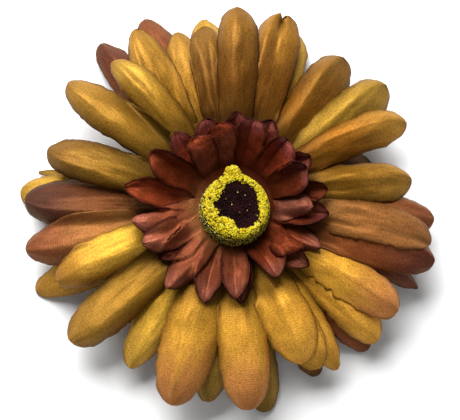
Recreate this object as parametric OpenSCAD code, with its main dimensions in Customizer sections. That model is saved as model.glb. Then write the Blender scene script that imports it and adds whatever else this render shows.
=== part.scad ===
// Flower hair clip: a fabric gerbera head on a sprung metal alligator clip.
// Millimetres. +Z is the flower's axis and +X runs from the clip's jaws to its finger lever.
// The origin is on the table, below the middle of the flower, which faces up.

/* [Flower] */
// Width of the open flower, tip to tip
flower_width = 102; // [92:1:112]
// Petals in each of the three large layers
large_petals = 14; // [12:1:14]
// Widest part of a large petal
large_petal_width = 11; // [9:0.5:12]
// Radius of the flat middle of a large layer
large_hub_r = 12; // [10:0.5:14]
// How far the front large layer's tips hang below its hub
front_drop = 2; // [1:0.2:3]
// How far the middle large layer's tips hang below its hub
middle_drop = 5.6; // [4:0.2:7]
// Petals in each of the two small layers
small_petals = 13; // [11:1:14]
// Reach of the front small layer's tips
small_front_reach = 23.5; // [20:0.5:25]
// Reach of the back small layer's tips
small_back_reach = 25; // [22:0.5:27]
// Widest part of a small petal
small_petal_width = 7; // [5:0.5:8]
// How far the tips of the front small layer stand above its hub
small_front_rise = 4.2; // [3:0.2:5]
// How far the tips of the back small layer stand above its hub
small_back_rise = 1.8; // [1:0.2:2.4]
// Thickness of the stiffened cloth, with its folds
cloth = 0.6; // [0.5:0.1:0.7]

/* [Centre] */
// Radius of the flocked button
button_r = 8.2; // [7.5:0.1:8.6]
// Height of the flocked button
button_h = 7; // [6:0.5:8]
// Inner radius of the pollen crust's rim
crust_inner_r = 5.2; // [4.5:0.1:6]
// Thickness of the pollen crust
crust = 0.8; // [0.6:0.1:1]
// Radius of the centre peg's shank
peg_r = 1.5; // [1.2:0.1:1.8]

/* [Backing] */
// Radius of the felt disc
felt_r = 17.5; // [15:0.5:19]
// Thickness of the felt disc
felt_t = 1.2; // [1:0.1:1.5]
// Thickness of the felt strap over the clip's plate
strap_t = 0.8; // [0.6:0.1:1]
// Length of the felt strap along the clip
strap_w = 10; // [8:0.5:12]

/* [Clip] */
// Length of the clip
clip_l = 46; // [44:1:48]
// Width of the clip's plates
clip_w = 8; // [8:0.5:9]
// Thickness of the clip's sheet steel
sheet = 0.7; // [0.6:0.05:0.7]
// Height of the closed clip
clip_h = 8.6; // [8.6:0.1:9.4]
// Distance from the jaws' tip to the pivot
jaw_l = 30; // [28:0.5:31]
// Radius of the pivot pin
pin_r = 0.95; // [0.8:0.05:1]
// Diameter of the spring's wire
wire_d = 0.6; // [0.5:0.05:0.6]

/* [Hidden] */
$fn = 48;
overlap = 0.1;                      // how far cutting tools run past what they cut

// Heights of the stack, from the clip up
plate_z = clip_h - sheet;           // underside of the clip's top plate
felt_z = clip_h;
glue_z = felt_z + felt_t;
glue_t = 0.8;
collar_z = glue_z + glue_t;
collar_t = 1;
back_z = collar_z + collar_t;
middle_z = back_z + cloth;
front_z = middle_z + cloth;
spacer_z = front_z + cloth;
spacer_t = 1;
small_back_z = spacer_z + spacer_t;
small_front_z = small_back_z + cloth;
button_z = small_front_z + cloth;

// Flower
large_reach = flower_width / 2;
back_drop = back_z;                 // the back layer's tips come down to the table
small_hub_r = 9.2;
drape_steps = 6;
outline_steps = 6;
petal_belly = 0.6;                  // where along its side a petal is widest
petal_root = 0.55;                  // width of a petal's root, as a share of its widest
round_tip = 0.8;                    // radius of a large petal's tip, as a share of its half width
narrow_tip = 0.42;                  // the same, for a small petal
hub_rim = 0.4;                      // how far the hub reaches past the start of the petals' curve
peg_hole_r = peg_r + 0.2;
peg_head_r = 3.2;
peg_head_t = 0.5;
barb_r = peg_r + 0.4;
peg_top_z = button_z + 3;
nub_r = 1.5;                        // the lump of pollen at the crust's edge
crust_wall_h = 3.6;                 // how far down the button's side the crust reaches
glue_r = 10;
collar_r = 8.5;
spacer_r = 5;

// Clip
tip_x = -24;
tail_x = tip_x + clip_l;
pivot_x = tip_x + jaw_l;
pivot_z = 5.6;
ear_r = 1.8;
play = 0.1;                         // side play between the ears
pin_hole_r = pin_r + 0.02;
jaw_hole_r = pin_r + 0.05;
rivet_r = 1.5;
rivet_t = 0.4;
jaw_ear_r = 2;
jaw_floor_z = 3.5;                  // inner face of the jaw below the pivot
jaw_ear_y = clip_w / 2 - sheet - play;
jaw_grip_z = 6.6;                   // inner face of the jaw along its grip
lever_x = pivot_x + 3;              // where the lever starts to slope away from the plate
lever_end_x = tail_x - 1.5;         // where it turns flat again
lever_end_z = 0.4 + sheet;          // inner face there, with its outer face just clear of the table
strap_x = -11;
groove_r = 0.35;

// Spring
coil_r = 1.6;                       // to the middle of the wire
coil_turns = 4;
coil_w = 3.8;
turn_steps = 12;
wire_sides = 8;
leg_x = pivot_x + 8;
leg_gap = 0.2;                      // between the spring's legs and the plates they press on

// Half the width of a petal at share t along its side, as a share of its widest
function petal_half(t, tip) = t < petal_belly
    ? petal_root + (1 - petal_root) * sin(90 * t / petal_belly)
    : 1 - (1 - tip) * pow((t - petal_belly) / (1 - petal_belly), 1.7);

// Height of a layer's underside at radius r: flat over the hub, then curving by drop at the tips
function drape(r, hub, reach, drop) = -drop * pow(max(0, (r - hub) / (reach - hub)), 2);

// Upright block in the outline of a petal along +X: polygon sides and a round tip
module petal_block(inner, reach, width, tip, height) {
    tip_r = tip * width / 2;
    side = reach - tip_r - inner;
    edge = [for (i = [0 : outline_steps])
        let (t = i / outline_steps) [inner + t * side, width / 2 * petal_half(t, tip)]];
    linear_extrude(height)
        polygon(concat(edge, [for (i = [outline_steps : -1 : 0]) [edge[i].x, -edge[i].y]]));
    translate([reach - tip_r, 0, 0]) cylinder(r = tip_r, h = height);
}

// Upright block in the outline of a whole layer
module layer_block(count, hub, reach, width, tip, turn, height) {
    cylinder(r = hub + hub_rim, h = height);
    for (i = [0 : count - 1])
        rotate(turn + i * 360 / count) petal_block(hub - 3, reach, width, tip, height);
}

// One die-cut layer of cloth: a hub with a hole for the peg and petals that curve down, or up for a minus drop
module petal_layer(z, count, hub, reach, width, tip, drop, turn) {
    span = reach + overlap - hub;
    radii = concat([peg_hole_r], [for (i = [0 : drape_steps]) hub + i / drape_steps * span]);
    lower = [for (r = radii) [r, z + drape(r, hub, reach, drop)]];
    upper = [for (i = [len(radii) - 1 : -1 : 0]) [lower[i].x, lower[i].y + cloth]];
    intersection() {
        rotate_extrude() polygon(concat(lower, upper));
        translate([0, 0, -overlap]) layer_block(count, hub, reach, width, tip, turn, button_z + button_h);
    }
}

module large_petals_front() {
    color("goldenrod")
        petal_layer(front_z, large_petals, large_hub_r, large_reach, large_petal_width, round_tip,
            front_drop, 90);
}

module large_petals_middle() {
    color("darkgoldenrod")
        petal_layer(middle_z, large_petals, large_hub_r, large_reach, large_petal_width, round_tip,
            middle_drop, 0);
}

module large_petals_back() {
    color("peru")
        petal_layer(back_z, large_petals, large_hub_r, large_reach, large_petal_width, round_tip,
            back_drop, 45);
}

module small_petals_front() {
    color("saddlebrown")
        petal_layer(small_front_z, small_petals, small_hub_r, small_front_reach, small_petal_width,
            narrow_tip, -small_front_rise, 92);
}

module small_petals_back() {
    color("maroon")
        petal_layer(small_back_z, small_petals, small_hub_r, small_back_reach, small_petal_width,
            narrow_tip, -small_back_rise, 79);
}

// Flocked button, stepped at its top edge where the crust sits, with a blind hole for the peg
module centre_button() {
    top = button_z + button_h;
    color([0.16, 0.06, 0.06]) rotate_extrude() polygon([
        [barb_r + 0.1, button_z], [button_r - 0.6, button_z], [button_r, button_z + 0.6],
        [button_r, top - crust_wall_h], [button_r - crust, top - crust_wall_h],
        [button_r - crust, top - 0.7], [button_r - crust - 0.7, top], [crust_inner_r - 0.4, top],
        [crust_inner_r - 1.6, top - 0.5], [0, top - 0.6], [0, peg_top_z + 0.1],
        [barb_r + 0.1, peg_top_z + 0.1]
    ]);
}

// Grains of pollen glued in a rim round the button's top edge, with a lump at one side
module pollen_crust() {
    top = button_z + button_h;
    color("gold") {
        rotate_extrude() polygon([
            [button_r - crust, top - crust_wall_h], [button_r, top - crust_wall_h],
            [button_r + 0.4, top - crust_wall_h + 0.8], [button_r + 0.3, top - 0.6],
            [button_r - 0.6, top + crust * 0.8], [crust_inner_r + 0.8, top + crust],
            [crust_inner_r, top], [button_r - crust - 0.7, top], [button_r - crust, top - 0.7]
        ]);
        translate([0, button_r - crust + nub_r, top - 1.2]) sphere(r = nub_r);
    }
}

// Plastic peg that every layer is threaded on, with a flat head below and two barbs in the button
module centre_peg() {
    color("olivedrab") {
        translate([0, 0, collar_z]) cylinder(r = peg_head_r, h = peg_head_t);
        translate([0, 0, collar_z]) cylinder(r = peg_r, h = peg_top_z - collar_z);
        for (z = [button_z + 0.5, button_z + 1.7])
            translate([0, 0, z]) cylinder(r1 = barb_r, r2 = peg_r, h = 1);
    }
}

module petal_spacer() {
    color("olivedrab") translate([0, 0, spacer_z]) difference() {
        cylinder(r = spacer_r, h = spacer_t);
        translate([0, 0, -overlap]) cylinder(r = peg_hole_r, h = spacer_t + 2 * overlap);
    }
}

module back_collar() {
    color("darkolivegreen") translate([0, 0, collar_z]) difference() {
        cylinder(r1 = collar_r, r2 = collar_r - 0.4, h = collar_t);
        translate([0, 0, -overlap]) cylinder(r = peg_hole_r, h = collar_t + 2 * overlap);
        translate([0, 0, -overlap]) cylinder(r = peg_head_r + 0.1, h = peg_head_t + overlap + 0.05);
    }
}

module glue_pad() {
    color("ivory") translate([0, 0, glue_z]) cylinder(r1 = glue_r, r2 = glue_r - 0.5, h = glue_t);
}

module felt_disc() {
    color("black") translate([0, 0, felt_z]) cylinder(r = felt_r, h = felt_t);
}

// Strap of felt that passes below the clip's plate, with its ends glued to the disc
module felt_strap() {
    side = clip_w / 2 + play;
    wing = side + strap_t + 4.2;
    color("dimgray") translate([strap_x - strap_w / 2, 0, 0]) rotate([90, 0, 90])
        linear_extrude(strap_w) polygon([
            [-wing, felt_z], [-wing, felt_z - strap_t], [-side - strap_t, felt_z - strap_t],
            [-side - strap_t, plate_z - strap_t], [side + strap_t, plate_z - strap_t],
            [side + strap_t, felt_z - strap_t], [wing, felt_z - strap_t], [wing, felt_z],
            [side, felt_z], [side, plate_z], [-side, plate_z], [-side, felt_z]
        ]);
}

// Outline of a clip plate seen from above: parallel at the tail and tapering to the tip
module plate_outline(tip_w) {
    intersection() {
        translate([tail_x - clip_w / 2, 0]) union() {
            circle(r = clip_w / 2);
            translate([-clip_l, -clip_w / 2]) square([clip_l, clip_w]);
        }
        polygon([
            [tip_x, tip_w / 2 - 0.8], [tip_x + 0.8, tip_w / 2], [tip_x + 16, clip_w / 2 + 0.01],
            [tail_x + 1, clip_w / 2 + 0.01], [tail_x + 1, -clip_w / 2 - 0.01],
            [tip_x + 16, -clip_w / 2 - 0.01], [tip_x + 0.8, -tip_w / 2], [tip_x, 0.8 - tip_w / 2]
        ]);
    }
}

// Two upright ears across the clip, drilled for the pin
module ears(outer_y, thickness, r, hole_r, reach_z) {
    for (side = [-1, 1])
        translate([pivot_x, side * (outer_y - thickness / 2), pivot_z]) rotate([90, 0, 0])
            difference() {
                linear_extrude(thickness, center = true) {
                    circle(r = r);
                    translate([-r, min(0, reach_z - pivot_z)]) square([2 * r, abs(reach_z - pivot_z)]);
                }
                cylinder(r = hole_r, h = thickness + 2 * overlap, center = true);
            }
}

// Flat top plate, glued under the felt, with two ears folded down
module clip_plate() {
    color("silver") {
        translate([0, 0, plate_z]) linear_extrude(sheet) plate_outline(5.4);
        ears(clip_w / 2, sheet, ear_r, pin_hole_r, plate_z + sheet / 2);
    }
}

// Height of the lever's inner face at x
function lever_z(x) =
    jaw_floor_z - (x - lever_x) / (lever_end_x - lever_x) * (jaw_floor_z - lever_end_z);

// Side view of the jaw's inner face, from the tip to the tail of the lever
function jaw_inner_face() = [
    [tip_x, plate_z - 0.15], [tip_x + 1.6, jaw_grip_z], [pivot_x - 8.5, jaw_grip_z - 0.2],
    [pivot_x - 3.2, jaw_floor_z], [lever_x, jaw_floor_z], [lever_end_x, lever_end_z],
    [tail_x, lever_end_z]
];

// Moving jaw: grip, pivot floor and finger lever in one bent strip, with teeth and two ears folded up
module clip_jaw() {
    face = jaw_inner_face();
    back = [for (i = [len(face) - 1 : -1 : 0]) [face[i].x, face[i].y - sheet]];
    color("gainsboro") {
        difference() {
            intersection() {
                translate([0, clip_w / 2 + 1, 0]) rotate([90, 0, 0]) linear_extrude(clip_w + 2)
                    polygon(concat(face, back));
                translate([0, 0, -overlap]) linear_extrude(clip_h) difference() {
                    plate_outline(5.4);
                    for (y = [jaw_ear_y, -jaw_ear_y - 2])
                        translate([pivot_x - 2.6, y]) square([5.2, 2]);
                }
            }
            for (i = [-1 : 1])
                translate([tip_x - 0.5, i * 1.5, plate_z - 2]) rotate([0, 0, 45])
                    cube([1.1, 1.1, 3]);
            for (i = [0 : 2]) {
                x = tail_x - 5 + 1.6 * i;
                translate([x, 0, lever_z(x) - sheet - 0.12]) rotate([90, 0, 0])
                    cylinder(r = groove_r, h = clip_w + 2, center = true);
            }
        }
        ears(jaw_ear_y, sheet - play, jaw_ear_r, jaw_hole_r, jaw_floor_z - sheet / 2);
    }
}

// Riveted pin through all four ears
module pivot_pin() {
    half = clip_w / 2 + 0.05;
    color("darkgray") translate([pivot_x, 0, pivot_z]) rotate([90, 0, 0]) {
        cylinder(r = pin_r, h = 2 * half, center = true);
        for (side = [-1, 1])
            translate([0, 0, side * (half + rivet_t / 2)]) cylinder(r = rivet_r, h = rivet_t, center = true);
    }
}

// Path of the spring's wire: a leg under the plate, the turns round the pin, a leg on the lever
function coil_point(i) =
    let (turn = i / turn_steps, a = 90 + 360 * turn)
    [pivot_x + coil_r * cos(a), -coil_w / 2 + coil_w * turn / (coil_turns + 0.5), pivot_z + coil_r * sin(a)];

function spring_path() = concat(
    [[leg_x, -coil_w / 2, plate_z - wire_d / 2 - leg_gap], [pivot_x + 2, -coil_w / 2, pivot_z + coil_r]],
    [for (i = [0 : turn_steps * (coil_turns + 0.5)]) coil_point(i)],
    [[pivot_x + 2, coil_w / 2, pivot_z - coil_r],
     [leg_x, coil_w / 2, lever_z(leg_x) + wire_d / 2 + leg_gap]]
);

// Tube swept along a path that never runs along Y
module wire(path, d) {
    last = len(path) - 1;
    function along(i) = path[min(i + 1, last)] - path[max(i - 1, 0)];
    function across(i) = let (u = cross(along(i), [0, 1, 0])) u / norm(u);
    function beside(i) = let (v = cross(across(i), along(i))) v / norm(v);
    points = [for (i = [0 : last], k = [0 : wire_sides - 1])
        let (a = 360 * k / wire_sides) path[i] + d / 2 * (cos(a) * across(i) + sin(a) * beside(i))];
    sides = [for (i = [0 : last - 1], k = [0 : wire_sides - 1])
        let (a = i * wire_sides, b = (k + 1) % wire_sides)
        [a + k, a + b, a + wire_sides + b, a + wire_sides + k]];
    ends = [
        [for (k = [wire_sides - 1 : -1 : 0]) k],
        [for (k = [0 : wire_sides - 1]) last * wire_sides + k]
    ];
    polyhedron(points, concat(sides, ends));
}

module torsion_spring() {
    color("slategray") wire(spring_path(), wire_d);
}

centre_button();
pollen_crust();
centre_peg();
small_petals_front();
small_petals_back();
petal_spacer();
large_petals_front();
large_petals_middle();
large_petals_back();
back_collar();
glue_pad();
felt_disc();
felt_strap();
clip_plate();
clip_jaw();
pivot_pin();
torsion_spring();
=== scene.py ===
"""Looks for the flower hair clip: satin petals, flocked button, pollen, felt and plated steel."""

import math
import random
from collections import namedtuple

import bmesh
import bpy
from mathutils import Matrix, Vector, noise
from mathutils.bvhtree import BVHTree


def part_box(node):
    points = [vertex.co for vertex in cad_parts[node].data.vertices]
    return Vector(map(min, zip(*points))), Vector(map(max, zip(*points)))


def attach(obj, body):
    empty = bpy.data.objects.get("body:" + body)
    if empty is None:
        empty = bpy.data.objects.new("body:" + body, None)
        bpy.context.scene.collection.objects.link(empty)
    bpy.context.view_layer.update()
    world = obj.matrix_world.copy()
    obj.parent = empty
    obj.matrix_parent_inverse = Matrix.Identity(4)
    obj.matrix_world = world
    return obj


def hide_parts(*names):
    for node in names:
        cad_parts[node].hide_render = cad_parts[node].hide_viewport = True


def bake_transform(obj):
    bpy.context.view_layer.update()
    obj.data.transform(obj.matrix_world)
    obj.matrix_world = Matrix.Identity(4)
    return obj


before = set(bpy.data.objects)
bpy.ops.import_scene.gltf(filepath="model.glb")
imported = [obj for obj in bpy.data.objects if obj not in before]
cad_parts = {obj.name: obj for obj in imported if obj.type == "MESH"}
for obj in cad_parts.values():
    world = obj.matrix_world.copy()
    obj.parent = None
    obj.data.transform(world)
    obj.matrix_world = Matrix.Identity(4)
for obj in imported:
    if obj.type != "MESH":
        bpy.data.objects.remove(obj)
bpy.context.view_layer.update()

MM = 0.001
scene = bpy.context.scene


# ---- helpers

def linear(hex_colour):
    """A colour such as "c9983a", as the eye sees it, in the linear values that Blender uses."""
    values = [int(hex_colour[i:i + 2], 16) / 255 for i in (0, 2, 4)]
    return tuple(v / 12.92 if v <= 0.04045 else ((v + 0.055) / 1.055) ** 2.4 for v in values)


def opaque(hex_colour):
    """The same with an alpha of 1, for a shader's socket."""
    return (*linear(hex_colour), 1)


def mix(a, b, t):
    """Share t of the way from a to b."""
    return tuple(x + (y - x) * t for x, y in zip(a, b))


def smooth(low, high, x):
    """0 below low, 1 above high, and an S curve between."""
    t = min(1, max(0, (x - low) / (high - low)))
    return t * t * (3 - 2 * t)


def through(knots, t):
    """Smooth curve through (place, value) knots with growing places."""
    if t <= knots[0][0]:
        return knots[0][1]
    for i in range(len(knots) - 1):
        (t0, v0), (t1, v1) = knots[i], knots[i + 1]
        if t <= t1:
            before = knots[max(i - 1, 0)]
            after = knots[min(i + 2, len(knots) - 1)]
            slope0 = (v1 - before[1]) / (t1 - before[0])
            slope1 = (after[1] - v0) / (after[0] - t0)
            s, span = (t - t0) / (t1 - t0), t1 - t0
            return ((2 * s ** 3 - 3 * s ** 2 + 1) * v0 + (s ** 3 - 2 * s ** 2 + s) * span * slope0
                    + (3 * s ** 2 - 2 * s ** 3) * v1 + (s ** 3 - s ** 2) * span * slope1)
    return knots[-1][1]


def polar(radius, degrees, z=0.0):
    """The point at a radius, an angle round the flower's axis and a height."""
    angle = math.radians(degrees)
    return Vector((radius * math.cos(angle), radius * math.sin(angle), z))


def wander(x, y, z):
    """Smooth noise between -1 and 1."""
    return noise.noise(Vector((x, y, z)))


def mesh_object(name, points_mm, faces, material, flat_shading=False):
    """A new object from points in millimetres."""
    mesh = bpy.data.meshes.new(name)
    mesh.from_pydata([Vector(p) * MM for p in points_mm], [], faces)
    mesh.validate()
    if not flat_shading:
        mesh.shade_smooth()
    return linked(name, mesh, material)


def linked(name, mesh, material):
    """An object in the scene with this mesh and material."""
    mesh.materials.append(material)
    obj = bpy.data.objects.new(name, mesh)
    scene.collection.objects.link(obj)
    return obj


def apply_modifiers(obj):
    graph = bpy.context.evaluated_depsgraph_get()
    mesh = bpy.data.meshes.new_from_object(obj.evaluated_get(graph))
    obj.modifiers.clear()
    obj.data = mesh


class Nodes:
    """Short names for building one material's node tree."""

    def __init__(self, name):
        self.material = bpy.data.materials.new(name)
        self.material.use_nodes = True
        self.tree = self.material.node_tree
        self.shader = self.tree.nodes["Principled BSDF"]

    def add(self, kind, **settings):
        node = self.tree.nodes.new("ShaderNode" + kind)
        for key, value in settings.items():
            setattr(node, key, value)
        return node

    def feed(self, socket, value):
        """Links an input to a socket, or sets it to a plain value."""
        if isinstance(value, bpy.types.NodeSocket):
            self.tree.links.new(value, socket)
        else:
            socket.default_value = value

    def fed(self, kind, **inputs):
        """A new node with these inputs."""
        node = self.add(kind)
        for key, value in inputs.items():
            self.feed(node.inputs[key], value)
        return node

    def math(self, operation, a, b=0.0):
        node = self.add("Math", operation=operation)
        self.feed(node.inputs[0], a)
        self.feed(node.inputs[1], b)
        return node.outputs[0]

    def map(self, value, from_low, from_high, to_low, to_high):
        node = self.add("MapRange")
        for socket, v in zip(node.inputs, (value, from_low, from_high, to_low, to_high)):
            self.feed(socket, v)
        return node.outputs[0]

    def mix_colour(self, factor, a, b, blend="MIX"):
        node = self.add("Mix", data_type="RGBA", blend_type=blend)
        for socket, v in zip((node.inputs[0], node.inputs[6], node.inputs[7]), (factor, a, b)):
            self.feed(socket, v)
        return node.outputs[2]

    def tones(self, value, low, high, dark, light):
        """From one colour to another, as value goes from low to high."""
        return self.mix_colour(self.map(value, low, high, 0, 1), opaque(dark), opaque(light))

    def place(self):
        """Place on the object, in metres."""
        return self.add("TexCoord").outputs["Object"]

    def noise(self, scale, detail=2.0, vector=None, roughness=0.5):
        vector = self.place() if vector is None else vector
        node = self.fed("TexNoise", Vector=vector, Scale=scale, Detail=detail, Roughness=roughness)
        return node.outputs["Fac"]

    def stretched(self, vector, scale):
        """A vector with each of its axes scaled by its own amount."""
        return self.fed("Mapping", Vector=vector, Scale=scale).outputs[0]

    def bump(self, height, distance, strength=1.0):
        node = self.fed("Bump", Height=height, Distance=distance, Strength=strength)
        self.feed(self.shader.inputs["Normal"], node.outputs[0])

    def set(self, **values):
        for key, value in values.items():
            self.feed(self.shader.inputs[key.replace("_", " ")], value)


# ---- materials

WARP_PITCH = 0.46  # the satin's thread spacing, in millimetres, coarse enough to show
WEFT_PITCH = 0.52


def satin(name, gloss, roughness):
    """Woven satin with tinted highlights.

    Its dye is painted on the mesh, and its threads follow each petal's own UV, in millimetres.
    """
    n = Nodes(name)
    dye = n.add("Attribute", attribute_name="dye").outputs["Color"]
    uv = n.add("UVMap", uv_map="threads").outputs[0]
    split = n.add("SeparateXYZ")
    n.feed(split.inputs[0], uv)
    warp = n.math("SINE", n.math("MULTIPLY", split.outputs[0], 2 * math.pi / WARP_PITCH))
    weft = n.math("SINE", n.math("MULTIPLY", split.outputs[1], 2 * math.pi / WEFT_PITCH))
    weave = n.math("ADD", n.math("MULTIPLY", warp, 0.35), weft)
    weave = n.math("MULTIPLY", weave, n.map(n.noise(0.5, 2, uv), 0.35, 0.65, 0.02, 0.12))
    slubs = n.noise(1.0, 3, n.stretched(uv, (2.4, 0.5, 1)))
    picks = n.noise(1.0, 4, n.stretched(uv, (1.7, 2.8, 1)), 0.65)
    blotches = n.noise(260, 2)
    shade = n.math("ADD", n.map(slubs, 0.3, 0.7, 0.91, 1.08), n.map(blotches, 0.3, 0.7, -0.09, 0.09))
    shade = n.math("ADD", shade, n.map(picks, 0.3, 0.7, -0.38, 0.38))
    shade = n.math("ADD", shade, weave)
    n.set(Base_Color=n.mix_colour(1.0, dye, shade, "MULTIPLY"))
    n.set(Roughness=n.map(slubs, 0.3, 0.7, roughness - 0.06, roughness + 0.08))
    n.set(Metallic=0.3, Specular_IOR_Level=0.15, Specular_Tint=(*gloss, 1))
    height = n.math("ADD", n.math("MULTIPLY", weft, 0.09), n.math("MULTIPLY", slubs, 1.2))
    n.bump(height, 0.00005)
    return n.material


def flock():
    """Short dark pile, nearly without gloss."""
    n = Nodes("flock")
    fine = n.noise(2600, 2)
    n.set(Base_Color=n.tones(fine, 0.45, 0.75, "140506", "301011"), Roughness=0.95, Specular_IOR_Level=0.05)
    n.bump(fine, 0.0002)
    return n.material


def pollen():
    """Coarse pollen powder. Each grain's colour is painted on the mesh."""
    n = Nodes("pollen")
    dye = n.add("Attribute", attribute_name="dye").outputs["Color"]
    grain = n.noise(2500, 3)
    n.set(Base_Color=n.mix_colour(1.0, dye, n.map(grain, 0.3, 0.7, 0.75, 1.1), "MULTIPLY"))
    n.set(Roughness=0.85, Specular_IOR_Level=0.1)
    n.bump(grain, 0.0001)
    return n.material


def felt(dark, light):
    """Matted fibres between two tones."""
    n = Nodes("felt")
    fibres = n.noise(1400, 4, roughness=0.7)
    tufts = n.noise(300, 3)
    n.set(Base_Color=n.tones(fibres, 0.35, 0.7, dark, light), Roughness=0.95)
    n.set(Sheen_Weight=0.4, Sheen_Roughness=0.6, Specular_IOR_Level=0.1)
    n.bump(n.math("ADD", fibres, tufts), 0.0003)
    return n.material


def plated_steel(name, tone, roughness):
    """Bright plating with fine draw lines along X and a patchy dulled film."""
    n = Nodes(name)
    lines = n.noise(1.0, 3, n.stretched(n.place(), (60, 2600, 2600)))
    film = n.noise(180, 3)
    n.set(Base_Color=n.tones(film, 0.35, 0.7, tone, "8d8a86"), Metallic=1.0)
    n.set(Roughness=n.math("ADD", n.map(lines, 0.3, 0.7, roughness - 0.05, roughness + 0.08),
                           n.map(film, 0.5, 0.8, 0, 0.12)))
    n.bump(lines, 0.00001, 0.6)
    return n.material


def cloudy(name, dark, light, cloud, grain, depth, **settings):
    """Plastic or glue in cloudy tones, with a fine grain. depth is the grain's, in metres."""
    n = Nodes(name)
    n.set(Base_Color=n.mix_colour(n.noise(cloud, 2), opaque(dark), opaque(light)), **settings)
    n.bump(n.noise(grain, 2), depth)
    return n.material


def paper():
    """The floor's off-white paper."""
    n = Nodes("paper")
    tone = n.mix_colour(n.noise(12, 2), (0.88, 0.88, 0.88, 1), (0.92, 0.92, 0.92, 1))
    n.set(Base_Color=tone, Roughness=0.9)
    return n.material


SATIN_LARGE = satin("satin_large", (1.0, 0.7, 0.28), 0.44)
SATIN_SMALL = satin("satin_small", (1.0, 0.42, 0.2), 0.5)
FLOCK = flock()
POLLEN = pollen()
FELT = felt("2b1a10", "5a3d28")
PLATED = plated_steel("plated_steel", "d6d5d2", 0.2)
SPRING = plated_steel("spring_steel", "a3a19e", 0.28)
STEM = cloudy("stem_plastic", "3f5a22", "587a30", 220, 1800, 0.00002, Roughness=0.45)
GLUE = cloudy("hot_glue", "d8cfae", "efe9d4", 160, 420, 0.0001, Roughness=0.3, Subsurface_Weight=0.4,
              Subsurface_Scale=0.001)

# How each dye looks to the eye. The dye itself is darker by LIGHT_SHARE, since the lights are strong
LIGHT_SHARE = 0.585
EYE_COLOURS = {
    # large petals
    "gold": "c08a2e", "yellow": "cc9b34", "ochre": "a4701f", "brown": "85521a", "light": "b07038",
    "rust": "96502a", "olive": "9c782c", "umber": "6d4318", "amber": "a86a1e",
    # small petals, and the rusty large ones' tips
    "garnet": "6a2814", "brick": "7e341a", "maroon": "76321a", "wine": "561d10", "dusty": "8a4e3c",
    "plum": "602c28", "clay": "7c4028", "dark": "6a3222",
}


def dye_of(colour):
    """The dye behind a colour such as "c9983a" as the eye sees it."""
    return tuple(LIGHT_SHARE * c for c in linear(colour))


def dyes_of(*colours):
    return [dye_of(colour) for colour in colours]


DYES = {name: dye_of(colour) for name, colour in EYE_COLOURS.items()}


# ---- petal layers

# Lengths are in millimetres and angles in degrees, except for the blanks
CLOTH = 0.32                    # the satin's thickness
CLOTH_GAP = 0.45                # room between two petals' upper faces
FLOOR_GAP = 0.25                # and between the lowest petals' upper faces and the floor
ABOVE_ALL = 60                  # a height above every petal
EASINGS = 5                     # times that a petal's lift is spread to the mesh points around
ACROSS = 24                     # mesh steps across a petal
ALONG = 40                      # and along it
CROWDING = 1.45                 # how much closer the steps along it stand towards its tip
LARGE_HUB = 12                  # radius of the ring that the large petals grow from
SMALL_HUB = 9.2                 # and the small ones
HUB_RINGS = (9.5, 7, 4.5, 1.7)  # mesh rings inside it, down to the hole
EVEN_SHARE = 0.2                # how far the petals' roots keep to an even spacing
LARGE_BLANK = 0.106             # side of the square that a layer is cut from, in metres
SMALL_BLANK = 0.054
PALE_LIT_SIDE = 205                # where the petals' feet are palest: partly their own paler tone, partly painted light
PALE_LIT_WIDTH = 50                # and how far round that reaches

# One petal's place and make. half is half its width, mid and tip name its dyes, and depth is how light they
# are: partly the dye's own tone, partly painted light and shade. lift raises it, roll turns it about its
# length, and taper, 0 to 1, narrows its tip. ridge and cleft are places across it, from -1 at its right edge
# to 1 at its left. jag is how deep its right edge is frayed, and the last value is how dark that side is
# painted towards its
# root: painted shade, such as a higher petal's shadow
Petal = namedtuple("Petal", "angle reach half mid tip depth lift roll ridge cleft jag taper stain",
                   defaults=(1.0, 0.0, 0.0, None, None, 0.0, 0.45, 0.0))

# Each layer's petals, listed from the lowest to the highest where they overlap
BACK = [
    Petal(167.8, 48.8, 2.2, "olive", "olive", 1, 0.5, 30, taper=1),
    Petal(356, 49.6, 4.6, "yellow", "yellow", 0.9),
    # Dark umber, partly painted shade: it shows as a shadowed gap between the petals above
    Petal(20, 38, 5, "umber", "umber", 0.6),
    Petal(70.3, 49.2, 4.6, "yellow", "yellow", 0.9, 1, taper=0.2),
    Petal(98, 50.2, 5, "yellow", "yellow", 0.95, 1),
    Petal(113.6, 54.2, 5, "rust", "rust", 0.72, 0.6, 0, ridge=0.1),
    Petal(127.2, 54.2, 4.6, "rust", "dark", 0.8, 0.6, 0, ridge=0),
    Petal(174.2, 52.4, 5.4, "yellow", "yellow", 0.95, 0.8),
    Petal(202.2, 51.8, 4.8, "gold", "gold", 1, 0.4, taper=0.6),
    # Dark umber, partly painted shade: it shows as a shadowed gap between the petals above
    Petal(229, 37, 5, "umber", "umber", 0.8),
    Petal(280.4, 49.8, 5, "olive", "olive", 1, 0.8),
    Petal(298.6, 45.4, 4, "umber", "brown", 0.8, 0),
    Petal(315.6, 47.8, 4.2, "rust", "rust", 0.9, 0.6),
    Petal(338.8, 50.2, 3, "rust", "dusty", 0.85, 0.6, 20, taper=1),
]
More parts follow.
